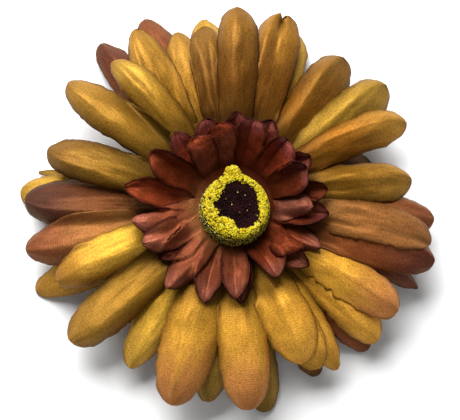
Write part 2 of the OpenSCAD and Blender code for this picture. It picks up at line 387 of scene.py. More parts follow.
MIDDLE = [
    Petal(358, 50, 5.2, "light", "rust", 0.75, 1, -6),
    Petal(54.3, 47.8, 5.7, "amber", "ochre", 0.6, 0.8, 10, ridge=0.35, taper=0.15, stain=0.25),
    Petal(39.6, 49.8, 5.9, "yellow", "yellow", 0.62, 1.6, 8, ridge=0.4, taper=0.2, stain=0.3),
    Petal(75.4, 51.6, 5.9, "brown", "ochre", 0.88, 1, -4, ridge=0.5, cleft=0, taper=0.1),
    Petal(106.8, 46.8, 4.6, "ochre", "gold", 0.75, 0.2, 0, taper=0.5),
    Petal(98.6, 46.8, 5, "brown", "ochre", 0.62, 0.8, 0, ridge=-0.3, taper=0.3),
    Petal(118.2, 51.2, 5.2, "ochre", "gold", 0.78, 1.4, -8, ridge=0.5, taper=0.7),
    Petal(177.6, 50.8, 6, "rust", "dark", 0.44, 1, 10, ridge=0.45, taper=0.4),
    Petal(191.5, 51.4, 5.8, "light", "rust", 0.72, 1.2, 0, ridge=0.3, taper=0.7),
    Petal(237.5, 46.2, 5, "yellow", "yellow", 1.14, 0.4, -6, ridge=0.25, taper=0.9),
    Petal(263, 47.4, 4.4, "olive", "olive", 0.9),
    Petal(318, 47.9, 5.2, "gold", "gold", 1.65, 0.8, 6, ridge=-0.2, jag=0.5),
    Petal(303.4, 46.8, 4, "gold", "gold", 1.3, 0, 0, taper=0.8),
    Petal(298.8, 44.2, 5.2, "gold", "gold", 1.35, 1.2, 0, ridge=0.3, taper=0.6),
]
FRONT = [
    Petal(9.3, 44.6, 5.2, "ochre", "gold", 0.72, 0.6, -10, ridge=0.3, taper=0.3, stain=0.45),
    Petal(26.6, 48, 4.7, "amber", "gold", 0.95, 0.8, 8, ridge=0.35, taper=0.2, stain=0.35),
    Petal(88.8, 50.5, 5.1, "brown", "ochre", 0.74, 0.4, 0, ridge=0.2, taper=0.1),
    Petal(129.8, 46.6, 4.3, "gold", "yellow", 0.75, 1.4, -8, ridge=0.2, taper=0.6),
    Petal(142.8, 50.9, 5.3, "gold", "gold", 0.66, 0.2, 6, ridge=0.35, taper=0.4, stain=0.6),
    Petal(163.2, 47.4, 5.2, "gold", "ochre", 0.54, 0.4, 4, ridge=0.4, taper=0.5, stain=0.5),
    Petal(203.4, 46.4, 5.1, "yellow", "ochre", 1.15, 0.8, -6, ridge=0.3),
    Petal(220, 51.2, 5.7, "gold", "gold", 0.68, 0, 4, ridge=0.4, taper=0.4, stain=0.3),
    Petal(253, 50.4, 7, "gold", "light", 1.28, 0.4, 0, jag=0.3, taper=0.7),
    Petal(274.5, 49.4, 6.3, "gold", "light", 1.38, 0.6, -4, taper=0.5),
    Petal(294.5, 41.6, 6.4, "gold", "gold", 1.75, 1, 6, ridge=0.1, taper=0.7),
    Petal(328, 47.4, 5.6, "gold", "light", 1.6, 0.4, 6, ridge=0.1, jag=0.9, taper=0.3),
    Petal(345.4, 51, 5.5, "rust", "dark", 1.04, 0.6, -4, ridge=0.4, taper=0.4),
    Petal(350.6, 49.2, 5.2, "light", "light", 0.74, 1, 6, jag=0.4, taper=0.5),
]


# What a layer's petals share. hub_r is the ring they grow from, and joined the share of its length over which
# a petal narrows from its place on it. course and bow are knots along it: its height, and how far its edges
# hang below its middle, as a share of its half width. bend is how sharply its section turns, nose how far its
# tip curls down, and unrest how far it may turn about its length. The dark dye at the feet, or the paler one
# towards one side, reaches out to root_span of its length: partly the cloth's own tone, partly painted shade
# where the feet lie under other petals, and painted light on the paler side. The dark edge dye, as strong as
# edge_share, reaches in to edge_in of its half width: partly dye, partly painted shade. The knots along a
# petal for how light it is are painted shade towards its feet and painted light towards its tip, and the
# amount added at the tip is a painted highlight
LayerStyle = namedtuple("LayerStyle", """
    hub_r joined course bow bend outline crease nose unrest root_dye faded_dye root_span
    edge_dye edge_share edge_in depth_along bloom""")


def root_tone(style, angle):
    """The dye at the petals' feet: paler towards one side, partly their own tone and partly painted light,
    and darker elsewhere, partly painted shade.
    """
    off = (angle - PALE_LIT_SIDE + 180) % 360 - 180
    return mix(style.root_dye, style.faded_dye, math.exp(-(off / PALE_LIT_WIDTH) ** 2))


def large_outline(taper, t):
    """Half width at share t of the length, as a share of the widest: like a spatula's."""
    widest = 0.74 - 0.14 * taper
    if t < widest:
        return 0.5 + 0.5 * math.sin(math.pi / 2 * t / widest)
    return (1 - ((t - widest) / (1 - widest)) ** (2.9 - 0.8 * taper)) ** (0.42 + 0.16 * taper)


def small_outline(taper, t):
    """The same for a small petal: pointed and widest near its foot, or blunt and widest further out."""
    widest = 0.66 - 0.36 * taper
    if t < widest:
        return 0.62 + 0.38 * math.sin(math.pi / 2 * t / widest)
    return (1 - ((t - widest) / (1 - widest)) ** 2.0) ** (0.4 + 0.7 * taper)


def row_share(i):
    """How far along a petal its mesh row i lies, from 0 to 1."""
    return 1 - (1 - (i / ALONG)) ** CROWDING


def tip_curl(style, t):
    """How far the last fifth of a petal curls down."""
    return style.nose * max(0.0, (t - 0.78) / 0.22) ** 2.3


def section(petal, style, half, t, u):
    """Height of a petal's section at u across it: bowed, or like a roof where it has a ridge."""
    bow = half * through(style.bow, t)
    if petal.ridge is None:
        return -bow * abs(u) ** style.bend
    side = 1 - petal.ridge if u > petal.ridge else 1 + petal.ridge
    far = abs(u - petal.ridge) / side
    return -abs(bow) * (0.75 * (math.sqrt(far * far + 0.004) - 0.063) + 0.75 * far ** 2.6)


def petal_grid(petal, root_angle, left, right, hub_z, style, seed):
    """Points of one petal, in rows from its root to its tip and each from left to right.

    Its root row lies on the hub's ring, from the angle left to the angle right.
    """
    start = polar(style.hub_r, root_angle)
    tip = polar(petal.reach, petal.angle)
    span = (tip - start).length
    bend = start + polar(0.45 * span, root_angle)
    rows = []
    for i in range(ALONG):
        t = row_share(i)
        centre = start * (1 - t) ** 2 + bend * 2 * t * (1 - t) + tip * t ** 2
        heading = ((bend - start) * (1 - t) + (tip - bend) * t).normalized()
        side = Vector((-heading.y, heading.x, 0))
        ripple = 1 + 0.035 * wander(t * 5, seed * 3.1, 0)
        half = petal.half * style.outline(petal.taper, t) * ripple
        unrest = style.unrest * wander(seed * 1.7, 2, 5)
        roll = math.radians(petal.roll + unrest) * smooth(0.1, 0.6, t)
        height = hub_z + through(style.course, t) + petal.lift * smooth(0.05, 0.7, t) - tip_curl(style, t)
        ring_share = 1 - smooth(0, style.joined, t)
        row = []
        for j in range(ACROSS + 1):
            u = 1 - 2 * j / ACROSS
            across = u * half
            up = section(petal, style, half, t, u) + style.crease(u, t, petal, seed)
            wave = Vector((t * 6, u * 1.8, seed * 5.7))
            up += (0.42 * noise.noise(wave) + 0.12 * noise.noise(wave * 3.7)) * smooth(0.08, 0.35, t)
            edge = abs(u) ** 8
            across += edge * u * 0.2 * wander(t * span * 1.1, u, seed * 1.3)
            across += edge * u * 0.4 * wander(t * span * 0.35, u, seed * 2.9)
            if petal.jag and u < 0:
                fray = max(0, wander(t * 26, 3, seed) + 0.15) * smooth(0.2, 0.35, t)
                across += edge * petal.jag * 2.2 * fray * (1 - smooth(0.75, 0.9, t))
            pull = 0.0
            if petal.cleft is not None:
                pull = -2.0 * math.exp(-((u - petal.cleft) / 0.3) ** 2) * smooth(0.8, 1, t)
            y = across * math.cos(roll) - up * math.sin(roll)
            z = across * math.sin(roll) + up * math.cos(roll)
            point = centre + side * y + heading * pull + Vector((0, 0, height + z))
            angle = root_angle + (left - root_angle if u > 0 else root_angle - right) * u
            on_ring = polar(style.hub_r + t * span, angle, height + up * smooth(0, 0.1, t))
            row.append(point.lerp(on_ring, ring_share))
        rows.append(row)
    tip_height = hub_z + style.course[-1][1] + petal.lift - tip_curl(style, 1)
    pull = 0 if petal.cleft is None else -1.6
    rows.append([tip + heading * pull + Vector((0, 0, tip_height))])
    return rows


def build_layer(name, petals, hub_z, style, material, seed, lower):
    """A die-cut layer: a hub with a hole and a ring of petals, laid on each other and on the lower layers."""
    below = resting(lower)
    stacking = list(petals)
    petals = sorted(petals, key=lambda p: p.angle % 360)
    count = len(petals)
    pitch = 360 / count
    start = sum((p.angle % 360) - k * pitch for k, p in enumerate(petals)) / count
    roots = [EVEN_SHARE * (start + k * pitch) + (1 - EVEN_SHARE) * (p.angle % 360)
             for k, p in enumerate(petals)]
    bounds = [(roots[k] + (roots[k - 1] - (360 if k == 0 else 0))) / 2 for k in range(count)]
    bounds.append(bounds[0] + 360)
    points, faces, dyes, threads = [], [], [], []

    def add(point, dye, thread):
        points.append(point)
        dyes.append(dye)
        threads.append(thread)
        return len(points) - 1

    ring_steps = count * ACROSS
    ring = []
    for k in range(count):
        for j in range(ACROSS):
            u = 2 * j / ACROSS - 1
            angle = roots[k] + u * (bounds[k + 1] - roots[k] if u > 0 else roots[k] - bounds[k])
            place = polar(style.hub_r, angle, hub_z)
            ring.append(add(place, root_tone(style, angle), (place.x, place.y)))
    outer = ring
    for radius in [r for r in HUB_RINGS if r < style.hub_r - 1]:
        inner = []
        for s in range(ring_steps):
            place = points[ring[s]].copy()
            place = Vector((place.x, place.y, 0)).normalized() * radius + Vector((0, 0, hub_z))
            inner.append(add(place, dyes[ring[s]], (place.x, place.y)))
        for s in range(ring_steps):
            e = (s + 1) % ring_steps
            faces.append((outer[s], outer[e], inner[e], inner[s]))
        outer = inner

    for petal in stacking:
        k = petals.index(petal)
        grid = petal_grid(petal, roots[k], bounds[k + 1], bounds[k], hub_z, style, seed + k)
        grid = lay_on(grid, below)
        below = below + [grid_tree(grid)]
        span = petal.reach - style.hub_r
        previous = [ring[(k * ACROSS + ACROSS - j) % ring_steps] for j in range(ACROSS + 1)]
        for i, row in enumerate(grid[1:], 1):
            t = row_share(i)
            current = []
            for j, place in enumerate(row):
                u = 1 - 2 * j / ACROSS if len(row) > 1 else 0
                dye = petal_dye(petal, t, u, style, seed + k)
                current.append(add(place, dye, (u * petal.half, style.hub_r + t * span)))
            for j in range(ACROSS):
                if len(row) > 1:
                    faces.append((previous[j], previous[j + 1], current[j + 1], current[j]))
                else:
                    faces.append((previous[j], previous[j + 1], current[0]))
            previous = current
    obj = mesh_object(name, points, faces, material)
    paint(obj, dyes, threads)
    return obj


def grid_tree(grid):
    """A laid petal as something to rest on, without its root, which its neighbours join."""
    rows = [row for row in grid[ALONG // 4:] if len(row) > 1]
    width = len(rows[0])
    points = [p for row in rows for p in row]
    faces = [(a + j, a + j + 1, a + width + j + 1, a + width + j)
             for a in range(0, len(points) - width, width) for j in range(width - 1)]
    return BVHTree.FromPolygons(points, faces)


def lay_on(grid, below):
    """Lifts a petal where it would pass through what lies below it, and eases the lift out around there."""
    lifts = []
    for row in grid:
        line = []
        for p in row:
            need = FLOOR_GAP
            for tree in below:
                hit = tree.ray_cast(Vector((p.x, p.y, ABOVE_ALL)), Vector((0, 0, -1)))[0]
                if hit is not None:
                    need = max(need, hit.z + CLOTH_GAP)
            line.append(max(0.0, need - p.z))
        lifts.append(line)
    for _ in range(EASINGS):
        lifts = [[max(lift, ease(lifts, i, j)) for j, lift in enumerate(row)] for i, row in enumerate(lifts)]
    lifts = [[0.5 * (lift + ease(lifts, i, j)) for j, lift in enumerate(row)] for i, row in enumerate(lifts)]
    return [[p + Vector((0, 0, lifts[i][j])) for j, p in enumerate(row)] for i, row in enumerate(grid)]


def ease(lifts, i, j):
    """The mean lift of a point's neighbours."""
    near = []
    for di, dj in ((-1, 0), (1, 0), (0, -1), (0, 1)):
        a = min(max(i + di, 0), len(lifts) - 1)
        b = min(max(j + dj, 0), len(lifts[a]) - 1)
        near.append(lifts[a][b])
    return sum(near) / len(near)


def petal_dye(petal, t, u, style, seed):
    """The dye at share t of a petal's length and u across it, from its root's tone to its tip's, with painted
    light and shade mixed in.
    """
    streak = wander(u * 5, t * 1.6, seed * 2.3)
    blot = wander(u * 1.5, t * 4, seed * 4.1)
    # The feet's tone: partly dye, partly painted shade, with painted light on the paler side
    colour = root_tone(style, petal.angle)
    colour = mix(colour, DYES[petal.mid], smooth(0.0, style.root_span, t + 0.06 * blot))
    colour = mix(colour, DYES[petal.tip], smooth(0.55, 0.95, t + 0.15 * streak))
    # Darker edges: partly dye, partly painted shade between the petals
    edge = smooth(style.edge_in, 1.0, abs(u)) * smooth(0.05, 0.3, t)
    colour = mix(colour, style.edge_dye, style.edge_share * edge)
    colour = mix(colour, style.edge_dye, 0.6 * style.edge_share * smooth(0.91, 1.0, t + 0.03 * blot))
    # How light the dye is: partly the petal's own tone, partly painted light and shade along it
    depth = (1 + (petal.depth - 1) * smooth(0, 0.2, t)) * through(style.depth_along, t)
    # Painted shade on one side towards the root, where a higher petal shades it
    depth *= 1 - petal.stain * smooth(0.0, 0.8, -u) * (1 - smooth(0.5, 0.85, t))
    # A painted highlight on the tip
    bloom = style.bloom * smooth(0.5, 0.95, t)
    return tuple(c * depth * (1 + 0.11 * streak) + bloom for c in colour)


def paint(obj, dyes, threads):
    """Stores the dye and the thread directions on the mesh."""
    mesh = obj.data
    layer = mesh.color_attributes.new("dye", "FLOAT_COLOR", "POINT")
    for item, dye in zip(layer.data, dyes):
        item.color = (*dye, 1)
    uv = mesh.uv_layers.new(name="threads")
    for loop, item in zip(mesh.loops, uv.data):
        item.uv = threads[loop.vertex_index]


def thicken(obj, thickness):
    """Gives a sheet its thickness, downwards, with a rim."""
    solid = obj.modifiers.new("thickness", "SOLIDIFY")
    solid.thickness = thickness * MM
    solid.offset = -1
    apply_modifiers(obj)


def fold(u, place, width):
    """Height of one sharp pressed fold across the cloth, 1 on its line."""
    return math.exp(-abs(u - place) / width)


def large_crease(u, t, petal, seed):
    """Height of the long ridges and creases that the press leaves in a large petal, in millimetres."""
    ends = smooth(0.1, 0.4, t) * (1 - smooth(0.85, 1, t))
    height = 0.06 * math.cos(u * 9.0) * ends
    for k in range(3):
        place = 0.75 * wander(seed * 3.7, k * 5.1, 0.5) + 0.12 * math.sin(t * 4 + seed + k)
        depth = 0.6 * wander(seed * 1.9, k * 2.3, 4.5)
        height += depth * fold(u, place, 0.13) * ends
    if petal.cleft is not None:
        height -= 1.3 * fold(u, petal.cleft, 0.14) * smooth(0.55, 0.85, t)
    return height


def small_crease(u, t, petal, seed):
    """Height of the slight folds of a small petal."""
    ends = smooth(0.05, 0.3, t) * (1 - 0.7 * smooth(0.75, 1, t))
    height = 0
    for k in range(2):
        place = 0.9 * wander(seed * 2.7, k * 4.3, 0.5)
        height += 0.7 * wander(seed * 1.3, k * 6.1, 2.5) * fold(u, place, 0.15)
    return height * ends


LARGE_BOW = ((0, 0.03), (0.25, 0.2), (0.6, 0.42), (0.9, 0.55), (1, 0.6))
SMALL_BOW = ((0, -0.02), (0.3, -0.6), (0.8, -0.8), (1, -0.5))
# How light a petal is painted along its length: painted shade towards its feet, painted highlight towards its
# tip
LARGE_PAINTED_SHADING = ((0.15, 0.62), (0.4, 0.84), (0.6, 1.0), (0.85, 1.25))
SMALL_PAINTED_SHADING = ((0, 1), (1, 1))


def large_style(course, root_dye):
    """A large layer's petals: bowed over their length, and browner towards their feet and edges, partly dye
    and partly painted shade, with painted light towards their tips.
    """
    return LayerStyle(
        hub_r=LARGE_HUB, joined=0.13, course=course, bow=LARGE_BOW, bend=2.5, outline=large_outline,
        crease=large_crease, nose=2.6, unrest=12, root_dye=dye_of(root_dye), faded_dye=dye_of(root_dye),
        root_span=0.55, edge_dye=dye_of("5c3410"), edge_share=0.55, edge_in=0.7, depth_along=LARGE_PAINTED_SHADING,
        bloom=0.008)


def small_style(course):
    """A small layer's petals: cupped, with dark edges, partly dye and partly painted shade, and feet paler on
    one side, partly painted light.
    """
    return LayerStyle(
        hub_r=SMALL_HUB, joined=0.15, course=course, bow=SMALL_BOW, bend=1.25, outline=small_outline,
        crease=small_crease, nose=0.6, unrest=40, root_dye=dye_of("4e1c0c"), faded_dye=dye_of("a0663a"),
        root_span=0.3, edge_dye=dye_of("2e0d0b"), edge_share=0.9, edge_in=0.68, depth_along=SMALL_PAINTED_SHADING,
        bloom=0.0)


def heights_of(node):
    """Heights of a CAD node's lowest and highest points, in millimetres."""
    return [v.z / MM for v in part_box(node)]


def resting(objects):
    """Layers' meshes as something to rest on, in millimetres."""
    trees = []
    for obj in objects:
        points = [v.co / MM for v in obj.data.vertices]
        trees.append(BVHTree.FromPolygons(points, [list(face.vertices) for face in obj.data.polygons]))
    return trees


# The feet are darker in the lower layers: partly dye, partly painted shade under the layers above
back_style = large_style(((0, 0), (0.35, -0.6), (0.75, -4.9), (1, -8.9)), "3c2208")
middle_style = large_style(((0, 0), (0.35, 1.4), (0.7, 0.4), (1, -2.6)), "43270a")
front_style = large_style(((0, 0), (0.3, 2.6), (0.6, 3.5), (0.85, 2.4), (1, 0.6)), "4c2d0b")

large_back = build_layer("petals_large_back", BACK, heights_of("large_petals_back")[1], back_style,
                         SATIN_LARGE, 11, [])
large_middle = build_layer("petals_large_middle", MIDDLE, heights_of("large_petals_middle")[1], middle_style,
                           SATIN_LARGE, 47, [large_back])
large_front = build_layer("petals_large_front", FRONT, heights_of("large_petals_front")[1], front_style,
                          SATIN_LARGE, 83, [large_back, large_middle])

SMALL_BACK = [
    # Dyed dark as painted shade: this petal stands for the shadowed gap below the petals in front
    Petal(-143, 22.4, 3.4, "garnet", "wine", 0.4, -0.8),
    Petal(-107, 25.2, 3.5, "clay", "dusty", 1.15, -0.2, taper=0.35),
    Petal(-86, 24.2, 3.3, "garnet", "dusty", 0.95, 0),
    Petal(-40, 23.2, 3.3, "maroon", "dusty", 0.95, 0.2, 14),
    Petal(-27, 23.6, 3.3, "maroon", "dusty", 1, 0.5, 10, ridge=-0.2),
    Petal(-6, 22.8, 3.4, "maroon", "plum", 1, 0.6),
    Petal(9, 22.8, 3.3, "maroon", "maroon", 0.65, 0.6),
    Petal(31.7, 21.6, 3.3, "garnet", "plum", 0.85, 0.6, taper=0.3),
    Petal(66, 22.2, 3.3, "garnet", "plum", 0.85, 0.6, taper=0.3),
    Petal(88, 22.4, 3.3, "garnet", "plum", 0.95, 0.6, taper=0.3),
    Petal(109, 21.6, 3.4, "garnet", "plum", 1.05, 0.6, taper=0.1),
    Petal(130, 22.4, 3.3, "garnet", "plum", 1.25, 0.4, taper=0.3),
    Petal(172, 26.8, 3.4, "brick", "maroon", 1.25, 0, taper=0.35),
]
SMALL_FRONT = [
    Petal(-169, 25.2, 3.7, "clay", "dusty", 1.75, 0.2, 16, ridge=0.2, taper=0.2),
    Petal(-155, 24.4, 3.8, "clay", "dusty", 1.6, -0.4, 8, ridge=0.1, taper=0.2),
    Petal(-128, 26.6, 3.7, "clay", "dusty", 1.15, -0.8, 8, ridge=0.2, taper=0.3),
    Petal(-90, 23.4, 3.4, "clay", "dusty", 1.3, -0.6, 0, taper=0.35),
    Petal(-61, 20.8, 3.8, "maroon", "dusty", 1.15, 0.2, -14, taper=0.3),
    Petal(-34, 19.6, 3.8, "maroon", "maroon", 1.1, 0.6, -6, ridge=-0.3, taper=0.3),
    Petal(-4, 18.6, 3.7, "dusty", "dusty", 1.15, 1.6, 14, ridge=0, taper=0.3),
    Petal(24.4, 18.8, 3.9, "maroon", "plum", 0.8, 1.6, 16, taper=0.25),
    Petal(50, 19.4, 3.8, "garnet", "plum", 1.65, 1.6, 8, taper=0.15),
    Petal(77, 20.2, 3.7, "garnet", "plum", 1.2, 1.6, 0, taper=0.1),
    Petal(102, 19.4, 3.5, "dark", "garnet", 1.3, 1, 0, taper=0.1),
    Petal(124, 18, 3.6, "dark", "maroon", 1.6, 1.4, -6, taper=0),
    Petal(150.5, 23.4, 3.7, "brick", "maroon", 0.9, 1, -12, taper=0.15),
]
spacer_top = heights_of("petal_spacer")[1]
small_back_style = small_style(((0, 0), (0.4, 1.2), (0.8, 3.0), (1, 3.6)))
small_front_style = small_style(((0, 0), (0.35, 2.2), (0.75, 5.0), (1, 5.8)))
small_back = build_layer("petals_small_back", SMALL_BACK, spacer_top + 0.6, small_back_style,
                         SATIN_SMALL, 131, [large_middle, large_front])
small_front = build_layer("petals_small_front", SMALL_FRONT, spacer_top + 1.2, small_front_style,
                          SATIN_SMALL, 171, [small_back])

# Each layer's mesh, CAD node, slot, petals, style and blank
PETAL_LAYERS = [
    (large_back, "large_petals_back", "satin_rust", BACK, back_style, LARGE_BLANK),
    (large_middle, "large_petals_middle", "satin_ochre", MIDDLE, middle_style, LARGE_BLANK),
    (large_front, "large_petals_front", "satin_gold", FRONT, front_style, LARGE_BLANK),
    (small_back, "small_petals_back", "satin_maroon", SMALL_BACK, small_back_style, SMALL_BLANK),
    (small_front, "small_petals_front", "satin_maroon", SMALL_FRONT, small_front_style, SMALL_BLANK),
]


def flat_area(petals, style):
    """Flat area of a die-cut layer, in square metres: its hub and its petals."""
    steps = 60
    area = math.pi * style.hub_r ** 2
    for petal in petals:
        share = sum(style.outline(petal.taper, (k + 0.5) / steps) for k in range(steps)) / steps
        area += 2 * petal.half * share * (petal.reach - style.hub_r)
    return area * MM ** 2


for obj, node, slot, petals, style, blank in PETAL_LAYERS:
    area = flat_area(petals, style)
    thicken(obj, CLOTH)
    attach(obj, "flower")
    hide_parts(node)


# ---- centre

def lathe(profile, steps, wobble):
    """Points and faces of a turned form. wobble(angle, k) moves profile point k outwards and upwards."""
    points, faces = [], []
    for s in range(steps):
        angle = 360 * s / steps
        for k, (r, z) in enumerate(profile):
            out, up = wobble(angle, k)
            points.append(polar(r + out, angle, z + up))
    rows = len(profile)
    for s in range(steps):
        e = (s + 1) % steps
        for k in range(rows - 1):
            faces.append((s * rows + k, e * rows + k, e * rows + k + 1, s * rows + k + 1))
    return points, faces


def resample(profile, step):
    """The profile with points about step apart."""
    dense = []
    for (r0, z0), (r1, z1) in zip(profile, profile[1:]):
        parts = max(1, round(math.hypot(r1 - r0, z1 - z0) / step))
        dense += [(r0 + (r1 - r0) * k / parts, z0 + (z1 - z0) * k / parts) for k in range(parts)]
    return dense + [profile[-1]]


def rough(point, scale, seed):
    """Smooth noise between -1 and 1 at a point."""
    return noise.noise(Vector(point) * scale + Vector((seed, 0, 0)))


LUMP_AT = 95  # angle of the pollen's lump


def shoulder(angle):
    """How much further out the pollen's rim stands at an angle: it swells into a blunt lump at the top."""
    off = abs((angle - LUMP_AT + 180) % 360 - 180)
    return 0.75 * math.exp(-(off / 24) ** 2) + 1.8 * math.exp(-(off / 11) ** 4)


button_low, button_high = heights_of("centre_button")
BUTTON_R = 7.85          # the button's radius, in millimetres
FLARE = 0.5              # how much wider the button is at its foot
LEAN = math.radians(9)   # slope of the button's face, which was glued on by hand
LEAN_WAY = polar(1, 70)  # and the way that it slopes down
OFF_CENTRE = Vector((0.1, -1.6, 0))


def seated(points):
    """Points of the button as it is glued: a little off centre, with its face sloping back."""
    out = []
    for p in points:
        share = smooth(button_low, button_high - 1, p[2])
        slope = math.tan(LEAN) * Vector(p).dot(LEAN_WAY) * share
        out.append(Vector(p) + OFF_CENTRE - Vector((0, 0, slope)))
    return out


button_profile = resample([
    (0.05, button_high - 0.6), (3.5, button_high - 0.5), (5.2, button_high), (6.4, button_high),
    (7.2, button_high - 0.7), (BUTTON_R, button_high - 2.2), (BUTTON_R + FLARE, button_low + 1.2),
    (BUTTON_R + FLARE - 0.4, button_low + 0.4), (BUTTON_R - 1.0, button_low),
    (2.2, button_low), (2.2, button_low + 0.4),
], 0.22)


def button_wobble(angle, k):
    """The pile's unevenness, away from the button's underside and the middle of its face."""
    r, z = button_profile[k]
    rub = 0.16 * rough(polar(r, angle, z), 2.6, 3)
    return (rub, rub) if 0.5 < r and z > button_low + 0.3 else (0, 0)


points, faces = lathe(button_profile, 200, button_wobble)
button = mesh_object("flocked_button", seated(points), faces, FLOCK)
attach(button, "flower")
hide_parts("centre_button")

# Radius of the pollen's inner edge, as (angle, radius) knots
RIM_INSIDE = (
    (-10, 5.5), (16, 5.3), (39, 6.0), (62, 6.1), (85, 6.3), (105, 6.0), (114, 5.6), (130, 4.9),
    (158, 4.6), (175, 5.5), (195, 4.2), (212, 4.9), (222, 3.6), (240, 3.4), (262, 3.7), (269, 4.7),
    (284, 5.4), (308, 5.9), (330, 6.0), (350, 5.5), (376, 5.2),
)


def inner_edge(angle):
    """Radius of the ragged inner edge of the pollen: it reaches in with a lump at the lower left."""
    ragged = 0.4 * wander(angle / 9, 0, 8) + 0.6 * wander(angle / 3.0, 0, 2)
    return through(RIM_INSIDE, angle % 360) + ragged


def crust_top(angle, share):
    """Point on the pollen's surface: share 0 is its inner edge, and 1 its lower edge on the button's side."""
    top = button_high
    inner = inner_edge(angle)
    worn = math.exp(-((angle - 235) / 45) ** 2)
    line = ((0, inner, top - 0.25), (0.16, inner + 0.4, top + 0.3), (0.42, (inner + 7.4) / 2, top + 0.7),
            (0.66, 7.25 - 0.3 * worn, top + 0.35), (0.84, 7.75 - 0.4 * worn, top - 0.3),
            (1, 7.9 - 0.3 * worn, top - 1.2 + 0.5 * worn))
    r = through([(a, b) for a, b, _ in line], share)
    z = through([(a, c) for a, _, c in line], share)
    swell = shoulder(angle) * smooth(0.25, 0.7, share)
    return polar(r + swell, angle, z - 0.12 * swell)


BED_FOOT_R = 7.2     # radius at which the pollen's bed closes inside the button
BED_FOOT_DROP = 1.6  # and how far below its top


def build_crust():
    """The pollen's bed: a thin lumpy skin that the grains stand on."""
    steps, rows = 220, 26
    points, faces = [], []
    for s in range(steps):
        angle = 360 * s / steps
        for k in range(rows):
            share = k / (rows - 1)
            p = crust_top(angle, share)
            points.append(p + p.normalized() * (0.14 * rough(p, 3.0, 5) + 0.1 * rough(p, 7, 9)))
    first = len(points)
    for s in range(steps):
        points.append(polar(BED_FOOT_R, 360 * s / steps, button_high - BED_FOOT_DROP))
    for s in range(steps):
        e = (s + 1) % steps
        for k in range(rows - 1):
            faces.append((s * rows + k, s * rows + k + 1, e * rows + k + 1, e * rows + k))
        faces.append((s * rows + rows - 1, first + s, first + e, e * rows + rows - 1))
        faces.append((first + s, s * rows, e * rows, first + e))
    obj = mesh_object("pollen_bed", seated(points), faces, POLLEN)
    paint(obj, [dye_of("a88c0f")] * len(points), [(p[0], p[1]) for p in points])
    return obj


def grains(name, places, sizes, seed, tones):
    """One mesh of many small rough stones, each in one of the tones and with a radius between the sizes."""
    dice = random.Random(seed)
    stone = bmesh.new()
    bmesh.ops.create_icosphere(stone, subdivisions=1, radius=1)
    shape = [v.co.copy() for v in stone.verts]
    shape_faces = [[v.index for v in f.verts] for f in stone.faces]
    stone.free()
    points, faces, dyes = [], [], []
    for place in seated(places):
        tone = dice.choice(tones)
        size = dice.uniform(*sizes)
        turned = dice.uniform(0, 6.28)
        axis = Vector((dice.random(), dice.random(), 1)).normalized()
        turn = Matrix.Rotation(turned, 3, axis)
        scale = Vector((dice.uniform(0.7, 1.3), dice.uniform(0.7, 1.3), dice.uniform(0.6, 1.0)))
        first = len(points)
        for v in shape:
            bump = 1 + 0.25 * (dice.random() - 0.5)
            corner = Vector((v.x * scale.x, v.y * scale.y, v.z * scale.z))
            points.append(Vector(place) + turn @ corner * size * bump)
            dyes.append(tone)
        faces += [[first + v for v in f] for f in shape_faces]
    obj = mesh_object(name, points, faces, POLLEN, flat_shading=True)
    paint(obj, dyes, [(p.x, p.y) for p in points])
    return obj


def on_bed(dice, bare=False):
    """A place on the pollen's surface, outside its bare spots, or only in them."""
    share = dice.uniform(0, 1)
    place = crust_top(dice.uniform(0, 360), share)
    cover = noise.noise(place * 1.1) + 0.5 * noise.noise(place * 2.7) + 0.24 - 0.5 * (share < 0.12)
    return place if (cover < 0) == bare else None


def on_wall(dice):
    """A place on the button's side. They thin out downwards."""
    down = dice.random() ** 1.4
    angle = dice.uniform(0, 360)
    z = button_high - 1.1 - 5.2 * down
    return polar(BUTTON_R + FLARE * down + dice.uniform(0.1, 0.25), angle, z)


def on_disc(dice):
    """A place on the dark middle. Most are near its edge."""
    angle = dice.uniform(0, 360)
    r = inner_edge(angle) * (1 - 0.75 * dice.random() ** 2.2)
    return polar(r, angle, button_high - 0.35 + 0.04 * r)


def scatter(place_of, count, seed):
    """As many places as count from a function that gives one, or None, for a throw of the dice."""
    dice = random.Random(seed)
    places = []
    while len(places) < count:
        place = place_of(dice)
        if place is not None:
            places.append(place)
    return places


crust = build_crust()
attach(crust, "flower")
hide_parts("pollen_crust")
# The tones of fresh pollen, of stray grains and of the dark flock
BRIGHT = dyes_of("fdea2c", "f6de20", "e6ca18", "fff25a", "ccaa12")
DULL = dyes_of("e8d64e", "cfb632", "f0e290", "b09824")
SOOTY = dyes_of("1c080a", "2c1012", "120406")
bed_places = scatter(on_bed, 2700, 21)
stray_places = scatter(on_disc, 18, 31) + scatter(on_wall, 2300, 32)
tuft_places = scatter(lambda dice: on_bed(dice, True), 330, 41)
tuft_places += scatter(on_wall, 700, 42) + scatter(on_disc, 900, 43)
pollen_grains = grains("pollen_grains", bed_places, (0.14, 0.31), 23, BRIGHT)
stray_grains = grains("stray_grains", stray_places, (0.08, 0.2), 33, DULL)
flock_tufts = grains("flock_tufts", tuft_places, (0.10, 0.22), 44, SOOTY)
for piece in (pollen_grains, stray_grains):
    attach(piece, "flower")
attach(flock_tufts, "flower")


# ---- backing

FELT_UNEVEN = 0.09  # how far the felt's faces wander, in millimetres


